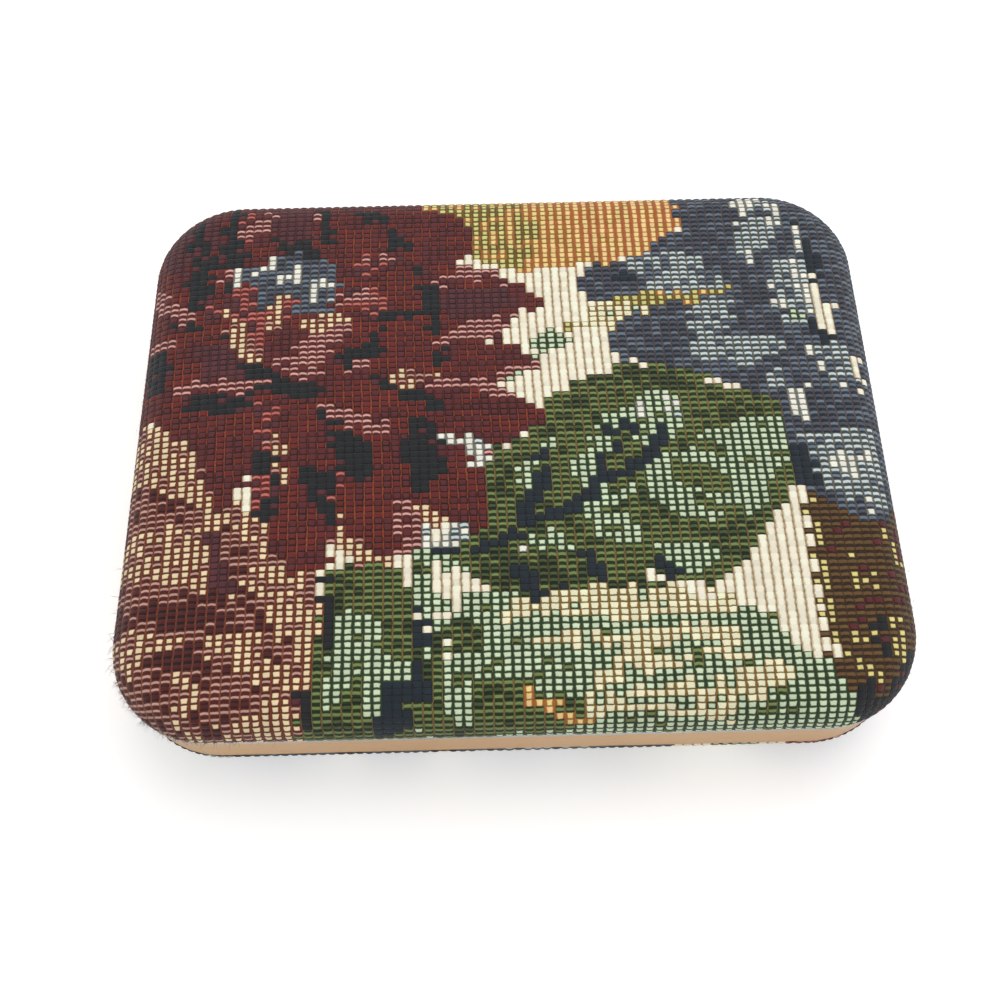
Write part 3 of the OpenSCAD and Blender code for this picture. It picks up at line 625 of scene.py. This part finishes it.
def colourCells(mesh, tray, cells, columns, rows):
    # each cell takes its yarns from the design at its middle, with a little chance
    x, y = placeInDesign(*(cells + 0.5).T)
    if tray["up"] < 0:
        x, y = (folded(place * way + shift, span) for place, way, shift, span
                in zip((x, y), (1, -1), tray["shift"], tray["span"]))
    column = (cells[:, 0] + columns + 1).astype(int)
    row = (cells[:, 1] + rows + 1).astype(int)
    size = 2 * columns + 4, 2 * rows + 4
    dice = np.random.default_rng(tray["seed"] + 1).random((4, *size))
    stray = np.random.default_rng(tray["seed"] + 2).normal(0, 1, (3, *size))[:, column, row]
    kind = designAt(x + cloth["straySide"] * stray[0], y + cloth["strayUp"] * stray[1])
    kind = mixedYarns(kind, stray[2])
    darkest, byCell, byColumn = cloth["shade"]
    shade = darkest + byCell * dice[0, column, row] + byColumn * dice[1, column, 0]
    least, spread = cloth["shareSpread"]
    share = least + spread * dice[3, column, row]
    table = list(yarns.values())
    for place, layer in enumerate(("float", "ground", "warp")):
        colours = np.array([linear(yarn[place]) for yarn in table])[kind] * shade[:, None]
        alpha = np.array([yarn[place + 3] for yarn in table])[kind] * share
        data = np.concatenate([np.clip(colours, 0, 1), alpha[:, None]], 1)
        attribute = mesh.attributes.new(layer, "FLOAT_COLOR", "FACE")
        attribute.data.foreach_set("color", data.astype(np.float32).ravel())
    arch = mesh.attributes.new("arch", "FLOAT", "FACE")
    arch.data.foreach_set("value", np.array([yarn[6] for yarn in table], np.float32)[kind])


def folded(value, span):
    # runs back and forth between -span and span, so that the design goes on past its edge
    return span - np.abs((value + span) % (4 * span) - 2 * span)


def clothMaterial():
    fixed = {"Roughness": 0.85, "Sheen Weight": 0.15, "Sheen Roughness": 0.5, "Specular IOR Level": 0.25}
    material, tree, shader = newMaterial("tapestry", fixed)
    weave = addNode(tree, "ShaderNodeUVMap", {"uv_map": "weave"})
    across = addNode(tree, "ShaderNodeSeparateXYZ", {}, {"Vector": weave}, "X")
    along = addNode(tree, "ShaderNodeSeparateXYZ", {}, {"Vector": weave}, "Y")
    across = across + 0.22 * (noise(tree, stretched(tree, weave, (0.9, 0.9, 1)), 1.0, 2.0) - 0.5)
    along = along + 0.25 * noise(tree, stretched(tree, weave, (1.1, 0.35, 1)), 1.3, 1.0) - 0.125
    sideways = across.math("FRACT", across) - 0.5
    upwards = along.math("FRACT", along) - 0.5
    yarn = {}
    share = {}  # the float's length, its width, and how strong the warp shows
    for layer in ("float", "ground", "warp"):
        yarn[layer] = addNode(tree, "ShaderNodeAttribute", {"attribute_name": layer}, {}, "Color")
        share[layer] = addNode(tree, "ShaderNodeAttribute", {"attribute_name": layer}, {}, "Alpha")
    arch = addNode(tree, "ShaderNodeAttribute", {"attribute_name": "arch"}, {}, "Fac")
    bent = upwards + arch * (4 * sideways * sideways) - arch * 0.4
    taper = share["ground"] * (0.5 + 0.14 * upwards)
    longSide = step(tree, abs(bent) - 0.5 * share["float"], 0.09, -0.07)
    wideSide = step(tree, abs(sideways) - taper, 0.06, -0.06)
    onFloat = longSide * wideSide
    onWarp = step(tree, abs(sideways), 0.36, 0.45) * share["warp"] * (0.72 + 0.56 * abs(upwards))
    # painted shade: the gaps between rows, away from floats and warp, are darkened towards near black
    rowGapShade = step(tree, abs(upwards), 0.36, 0.5) * (1 - onFloat) * (1 - onWarp)
    hairs = noise(tree, stretched(tree, weave, (2.0, 14.0, 1)), 3.0, 3.0, 0.65)
    colour = mixColours(tree, onFloat, yarn["ground"], yarn["float"])
    colour = mixColours(tree, onWarp, colour, yarn["warp"])
    # painted shade mixed into the row gaps
    colour = mixColours(tree, rowGapShade * 0.35, colour, (0.02, 0.012, 0.01, 1))
    tone = addNode(tree, "ShaderNodeCombineColor", {}, {i: 0.72 + 0.56 * hairs for i in range(3)})
    colour = mixColours(tree, 0.7, colour, tone, "MULTIPLY")
    rise = 0.75 * onFloat + 0.5 * onWarp + 0.25 * hairs
    feed(tree, shader, colour, 0.7 + 0.25 * hairs, rise, 0.8, 0.25 * mm)
    return material


tapestry = clothMaterial()
lidCloth = wovenCloth("lid_cloth_woven", lid)
lidCloth.data.materials.append(tapestry)
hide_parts("lid_cloth")
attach(lidCloth, "lid")
baseCloth = wovenCloth("base_cloth_woven", base)
baseCloth.data.materials.append(tapestry)
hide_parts("base_cloth")
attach(baseCloth, "base")
print("cloths woven", len(lidCloth.data.polygons), len(baseCloth.data.polygons))

# Rings round the box

pointsRound = 320


def outlineOf(inset, count=pointsRound):
    # points and outward directions round the lid's outline, drawn in by inset, in mm
    w, d = (side - inset for side in lid["half"])
    r = max(lid["corner"] - inset, 0.3)
    quarter = r * math.pi / 2
    edges = np.cumsum([0] + [2 * (d - r), quarter, 2 * (w - r), quarter] * 2)
    # each stretch starts here, facing this way: a side, then the corner after it
    starts = [((w, -d + r), 0), ((w - r, d - r), 0), ((w - r, d), 90), ((-w + r, d - r), 90),
              ((-w, d - r), 180), ((-w + r, -d + r), 180), ((-w + r, -d), 270), ((w - r, -d + r), 270)]
    found = []
    for s in np.arange(count) / count * edges[-1]:
        k = min(int(np.searchsorted(edges, s, "right")) - 1, 7)
        (x, y), degrees = starts[k]
        turn = math.radians(degrees)
        t = s - edges[k]
        if k % 2:
            turn += t / r
            found.append((x + r * math.cos(turn), y + r * math.sin(turn), math.cos(turn), math.sin(turn)))
        else:
            found.append((x - t * math.sin(turn), y + t * math.cos(turn), math.cos(turn), math.sin(turn)))
    return np.array(found)


def ringAt(inset, z, wave=0.0):
    x, y, nx, ny = outlineOf(inset).T
    return np.stack([x + nx * wave, y + ny * wave, np.zeros(len(x)) + z], -1)


def loft(name, rings, closed):
    # a mesh through rings of as many points: closed joins the last to the first, open caps both ends
    count = len(rings[0])
    following = [(i, (i + 1) % count) for i in range(count)]
    pairs = [(k, (k + 1) % len(rings)) for k in range(len(rings) if closed else len(rings) - 1)]
    faces = [(a * count + i, a * count + j, b * count + j, b * count + i)
             for a, b in pairs for i, j in following]
    places = np.concatenate(rings).tolist()
    if not closed:
        last = (len(rings) - 1) * count
        places += [rings[0].mean(0).tolist(), rings[-1].mean(0).tolist()]
        faces += [(len(places) - 2, j, i) for i, j in following]
        faces += [(last + i, last + j, len(places) - 1) for i, j in following]
    return addPiece(name, places, faces)


# Linings

lining = {
    "puckers": 90,
    "puckerDepth": 0.09,
    "phaseSpan": 6.28,
    "edgeRings": 14,
    "innerRings": (0.06, 0.14, 0.26, 0.42, 0.6, 0.8),
    "lidEdge": 0.9,  # how far the soft edge of the panel reaches in
    "floorEdge": 1.4,
    "wallThick": 0.3,
    "wallCap": 1.1,  # over the top of the neck
    "wallHook": 0.8,
    "folds": 70,
    "foldDepth": 0.05,
}


def liningPad(name, node, up, edge, seed):
    # a thin padded panel that fills the place of its node, crowned towards the room it lines
    low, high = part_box(node)
    inset = lid["half"][0] - high.x / mm
    flat, top = (low.z / mm, high.z / mm)[::up]
    phase = np.random.default_rng(seed).random(lining["puckers"]) * 2 * math.pi
    turn = np.linspace(0, 2 * math.pi, pointsRound, endpoint=False)
    drift = np.interp(turn, np.linspace(0, lining["phaseSpan"], len(phase)), phase)
    pucker = up * lining["puckerDepth"] * (0.5 + 0.5 * np.sin(turn * lining["puckers"] + drift))
    rings = [ringAt(inset + edge, flat), ringAt(inset, flat)]
    for k in range(1, lining["edgeRings"] + 1):
        t = k / lining["edgeRings"]
        angle = t * math.pi / 2
        rise = flat + (top - flat) * math.sin(angle)
        rings.append(ringAt(inset + edge * (1 - math.cos(angle)), rise - pucker * (1 - t) * t * 4))
    for share in lining["innerRings"]:
        inner = inset + edge + share * (lid["half"][1] - inset - edge - 0.5)
        rings.append(ringAt(inner, top - pucker * 0.5 * max(0, 1 - share * 5)))
    return loft(name, [ring[::up] for ring in rings], False)


def wallLining():
    # the fabric down the walls, which folds over the top of the neck
    low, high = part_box("base_wall_lining")
    outer = lid["half"][0] - high.x / mm
    bottom, top = low.z / mm, high.z / mm
    inner = outer + lining["wallCap"]
    thick = lining["wallThick"]
    turn = np.linspace(0, 2 * math.pi, pointsRound, endpoint=False)
    folds = lining["foldDepth"] * np.sin(turn * lining["folds"] + 2 * np.sin(turn * 5))
    rings = [ringAt(outer + lining["wallHook"], top - thick), ringAt(outer, top - thick)]
    rings += [ringAt(outer, top - 0.12), ringAt(outer + 0.12, top)]
    rings += [ringAt(inner - 0.16, top), ringAt(inner - 0.04, top - 0.06), ringAt(inner, top - 0.2)]
    rings += [ringAt(inner, z, folds) for z in np.linspace(top - 0.8, bottom + 0.3, 9)]
    rings += [ringAt(inner, bottom), ringAt(inner - thick, bottom), ringAt(inner - thick, top - 0.4)]
    return loft("base_wall_satin", [ring[::-1] for ring in rings][::-1], True)


def satinMaterial():
    fixed = {"Sheen Weight": 0.4, "Sheen Roughness": 0.35, "Anisotropic": 0.5, "Specular IOR Level": 0.6}
    material, tree, shader = newMaterial("lining_satin", fixed)
    place = onPiece(tree)
    threads = noise(tree, stretched(tree, place, (900.0, 9000.0, 900.0)), 1.0, 2.0)
    shade = 0.7 * noise(tree, place, 60.0, 3.0) + 0.3 * threads
    colour = ramp(tree, shade, (0.25, (0.66, 0.50, 0.27)), (0.75, (0.80, 0.66, 0.40)))
    feed(tree, shader, colour, 0.34 + 0.2 * threads, threads, 0.25, 0.05 * mm)
    return material


satin = satinMaterial()
lidSatin = liningPad("lid_lining_satin", "lid_lining", -1, lining["lidEdge"], 5)
floorSatin = liningPad("base_floor_satin", "base_floor_lining", 1, lining["floorEdge"], 6)
wallSatin = wallLining()
for piece, node, body in ((lidSatin, "lid_lining", "lid"), (floorSatin, "base_floor_lining", "base"),
                          (wallSatin, "base_wall_lining", "base")):
    piece.data.materials.append(satin)
    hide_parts(node)
    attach(piece, body)
print("linings made")

# Wadding between the pressed board and the cloth of the lid

wadding = {
    "thick": 0.8,
    "under": 1.0,  # below the face of the cloth
    "rough": 0.02,
    "edgeRings": 10,
    "innerRings": (0.1, 0.3, 0.55, 0.8),
    "seed": 3,
}


def waddingSheet():
    rng = np.random.default_rng(wadding["seed"])
    middle = lid["level"] - lid["edge"]
    faces = []
    for sunk in (0, wadding["thick"]):
        deep = wadding["under"] + sunk
        radius = lid["edge"] - deep
        rings = []
        for angle in np.linspace(0.05, math.pi / 2, wadding["edgeRings"]):
            rough = rng.normal(0, wadding["rough"], pointsRound)
            z = middle + (radius + rough) * math.sin(angle)
            rings.append(ringAt(deep + radius * (1 - math.cos(angle)), z))
        for share in wadding["innerRings"]:
            inset = lid["edge"] + share * (lid["half"][1] - lid["edge"] - 0.5)
            rings.append(ringAt(inset, middle + radius + rng.normal(0, wadding["rough"], pointsRound)))
        faces.append(rings)
    upper, lower = faces
    return loft("lid_wadding_felt", lower[::-1] + upper, False)


def waddingMaterial():
    material, tree, shader = newMaterial("wadding", {"Sheen Weight": 0.5})
    fluff = noise(tree, onPiece(tree), 900.0, 4.0, 0.7)
    colour = ramp(tree, fluff, (0.3, (0.85, 0.83, 0.76)), (0.7, (0.96, 0.95, 0.90)))
    feed(tree, shader, colour, 0.9 + 0.1 * fluff, fluff, 0.6, 0.2 * mm)
    return material


felt = waddingSheet()
felt.data.materials.append(waddingMaterial())
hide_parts("lid_wadding")
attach(felt, "lid")
print("wadding made")

# Metal, board and pin

# dark and light colour as they look on screen, how much the scratches show, and the fixed values
metals = {
    "silver_rim": ((0.66, 0.66, 0.65), (0.84, 0.84, 0.83), 0.5, {"Metallic": 0.9, "Roughness": 0.3}),
    "tan_band": ((0.80, 0.61, 0.38), (0.89, 0.71, 0.50), 0.35,
                 {"Roughness": 0.42, "Coat Weight": 0.3, "Coat Roughness": 0.3}),
    "pin_steel": ((0.60, 0.60, 0.60), (0.78, 0.78, 0.78), 0.2, {"Metallic": 1.0, "Roughness": 0.28}),
}
boards = {
    "pressed_board": ((0.40, 0.36, 0.31), (0.52, 0.47, 0.40)),
    "lining_card": ((0.66, 0.60, 0.50), (0.78, 0.72, 0.62)),
}
finishes = {
    "lid_frame": "silver_rim",
    "base_frame": "tan_band",
    "hinge_pin": "pin_steel",
    "lid_shell": "pressed_board",
    "base_shell": "pressed_board",
    "lid_lining_board": "lining_card",
    "base_wall_board": "lining_card",
    "base_floor_board": "lining_card",
}


def metalMaterial(name):
    dark, light, scratch, fixed = metals[name]
    material, tree, shader = newMaterial(name, fixed)
    place = onPiece(tree)
    brushed = noise(tree, stretched(tree, place, (250.0, 250.0, 2600.0)), 1.0, 3.0, 0.6)
    wear = step(tree, noise(tree, stretched(tree, place, (300.0, 300.0, 1500.0)), 1.0, 4.0, 0.7), 0.60, 0.72)
    shade = 0.6 * noise(tree, place, 45.0, 3.0) + 0.4 * brushed
    colour = ramp(tree, shade, (0.3, dark), (0.7, light))
    colour = mixColours(tree, scratch * wear, colour, darker(dark, 0.62))
    roughness = fixed["Roughness"] - 0.06 + 0.14 * brushed + 0.1 * wear
    feed(tree, shader, colour, roughness, brushed, 0.15, 0.02 * mm)
    return material


def boardMaterial(name):
    dark, light = boards[name]
    material, tree, shader = newMaterial(name, {"Specular IOR Level": 0.3})
    place = onPiece(tree)
    pulp = noise(tree, place, 700.0, 5.0, 0.65)
    flecks = step(tree, noise(tree, place, 1700.0, 1.0), 0.66, 0.74)
    colour = ramp(tree, pulp, (0.3, dark), (0.7, light))
    colour = mixColours(tree, 0.4 * flecks, colour, darker(dark, 0.7))
    feed(tree, shader, colour, 0.82 + 0.15 * pulp, pulp, 0.4, 0.08 * mm)
    return material


made = {name: metalMaterial(name) for name in metals}
made.update({name: boardMaterial(name) for name in boards})
for node, name in finishes.items():
    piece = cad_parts[node]
    piece.data.materials.clear()
    piece.data.materials.append(made[name])
print("metal and board finished")

# Loose fibres along the hem of the lid

fuzz = {
    "count": 360,
    "thick": 0.03,
    "corner": (0.69, 0.022),  # every second one grows here, as a share of the way round, and its spread
    "cornerLength": (0.5, 1.4),
    "length": (0.3, 0.8),
    "frontSpan": 40,  # half as many along this part of the front
    "lean": 0.9,
    "bend": 0.35,
    "sag": 0.3,
    "seed": 8,
}


def fibres():
    rng = np.random.default_rng(fuzz["seed"])
    ring = outlineOf(0, 1200)
    places = []
    faces = []
    for k in range(fuzz["count"]):
        atCorner = k % 2 == 0
        near = rng.normal(*fuzz["corner"]) if atCorner else rng.random()
        x, y, nx, ny = ring[int(near % 1 * len(ring))]
        if not atCorner and y < 0 and abs(x) < fuzz["frontSpan"] and rng.random() < 0.5:
            continue
        length = rng.uniform(*fuzz["cornerLength" if atCorner else "length"])
        lean = rng.normal(0, fuzz["lean"])
        root = np.array([x - nx * 0.25, y - ny * 0.25, lid["level"] - lid["edge"] + abs(rng.normal(0, 1.2))])
        way = np.array([nx - ny * lean, ny + nx * lean, rng.normal(-0.2, 0.5)])
        way = way / np.linalg.norm(way)
        side = np.cross(way, (0, 0, 1.0))
        side = side / max(np.linalg.norm(side), 1e-6)
        first = len(places)
        bend = rng.normal(0, fuzz["bend"])
        for t in (0, 1 / 3, 2 / 3, 1):
            middle = root + way * length * t + side * bend * t * t - np.array([0, 0, fuzz["sag"] * t * t])
            wide = fuzz["thick"] * (1 - 0.7 * t)
            places += [middle + side * wide, middle - side * wide, middle + np.array([0, 0, wide * 1.4])]
        for knot in range(first, first + 9, 3):
            faces += [(knot + a, knot + b, knot + 3 + b, knot + 3 + a) for a, b in ((0, 1), (1, 2), (2, 0))]
        faces += [(first + 2, first + 1, first), (first + 9, first + 10, first + 11)]
    return addPiece("lid_hem_fibres", places, faces)


def fibreMaterial():
    material, tree, shader = newMaterial("loose_fibres", {"Roughness": 0.9, "Sheen Weight": 0.3})
    tint = noise(tree, onPiece(tree), 160.0, 1.0)
    feed(tree, shader, ramp(tree, tint, (0.35, (0.20, 0.20, 0.20)), (0.5, (0.40, 0.28, 0.26)),
                            (0.66, (0.62, 0.58, 0.50))))
    return material


hemFibres = fibres()
hemFibres.data.materials.append(fibreMaterial())
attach(hemFibres, "lid")

# Flat sizes of the sheets

wallInset = 3.6
wallTurnedOver = 1.4


def flatSize(tray):
    return tuple(2 * (side + tray["edge"] * (math.pi / 2 - 1) + cloth["hem"]) * mm for side in tray["half"])


def wallFlatSize():
    low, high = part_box("base_wall_lining")
    corner = lid["corner"] - wallInset
    length = 4 * sum(side - wallInset for side in lid["half"]) - (8 - 2 * math.pi) * corner
    return length * mm, high.z - low.z + wallTurnedOver * mm


flatSize(lid)
flatSize(base)
wallFlatSize()
print("sheets declared", flatSize(lid), flatSize(base), wallFlatSize())

# Floor, light and background

light = {
    "world": 0.75,
    "key": 1.1,
    "keySize": 0.5,
    "keyPlace": (0.12, 0.22, 0.55),
    "floorSide": 3000,
    "floorColour": (0.86, 0.86, 0.86, 1),
    "floorGlow": 0.35,  # seen by the camera only, so that the floor is white but keeps the shadow
}


def layFloor():
    side = light["floorSide"]
    floor = addPiece("floor", [(-side, -side, 0), (side, -side, 0), (side, side, 0), (-side, side, 0)],
                     [(0, 1, 2, 3)])
    fixed = {"Base Color": light["floorColour"], "Roughness": 0.9, "Specular IOR Level": 0.1}
    material, tree, shader = newMaterial("floor_white", fixed)
    plain = Wire(tree, shader.outputs[0])
    glow = addNode(tree, "ShaderNodeEmission", {}, {"Color": (1, 1, 1, 1), "Strength": light["floorGlow"]})
    lit = addNode(tree, "ShaderNodeAddShader", {}, {0: plain, 1: glow})
    seen = addNode(tree, "ShaderNodeLightPath", {}, {}, "Is Camera Ray")
    choose = addNode(tree, "ShaderNodeMixShader", {}, {0: seen, 1: plain, 2: lit})
    tree.links.new(choose.socket, tree.nodes["Material Output"].inputs["Surface"])
    floor.data.materials.append(material)


def setWorld():
    world = bpy.data.worlds.new("studio")
    bpy.context.scene.world = world
    world.use_nodes = True
    tree = world.node_tree
    back = tree.nodes["Background"]
    camera, glossy, through = (addNode(tree, "ShaderNodeLightPath", {}, {}, name)
                               for name in ("Is Camera Ray", "Is Glossy Ray", "Is Transmission Ray"))
    white = camera.math("MINIMUM", camera + glossy + through, 1.0)
    strength = light["world"] + (1 - light["world"]) * white
    tree.links.new(strength.socket, back.inputs["Strength"])
    back.inputs["Color"].default_value = (1, 1, 1, 1)


def hangKey():
    lamp = bpy.data.lights.new("key", "AREA")
    lamp.shape = "DISK"
    lamp.size = light["keySize"]
    lamp.energy = light["key"]
    key = bpy.data.objects.new("key", lamp)
    key.location = light["keyPlace"]
    key.rotation_euler = (-Vector(light["keyPlace"])).to_track_quat("-Z", "Y").to_euler()
    bpy.context.scene.collection.objects.link(key)


bpy.context.scene.view_settings.view_transform = "Standard"
layFloor()
setWorld()
hangKey()
print("floor and light set")
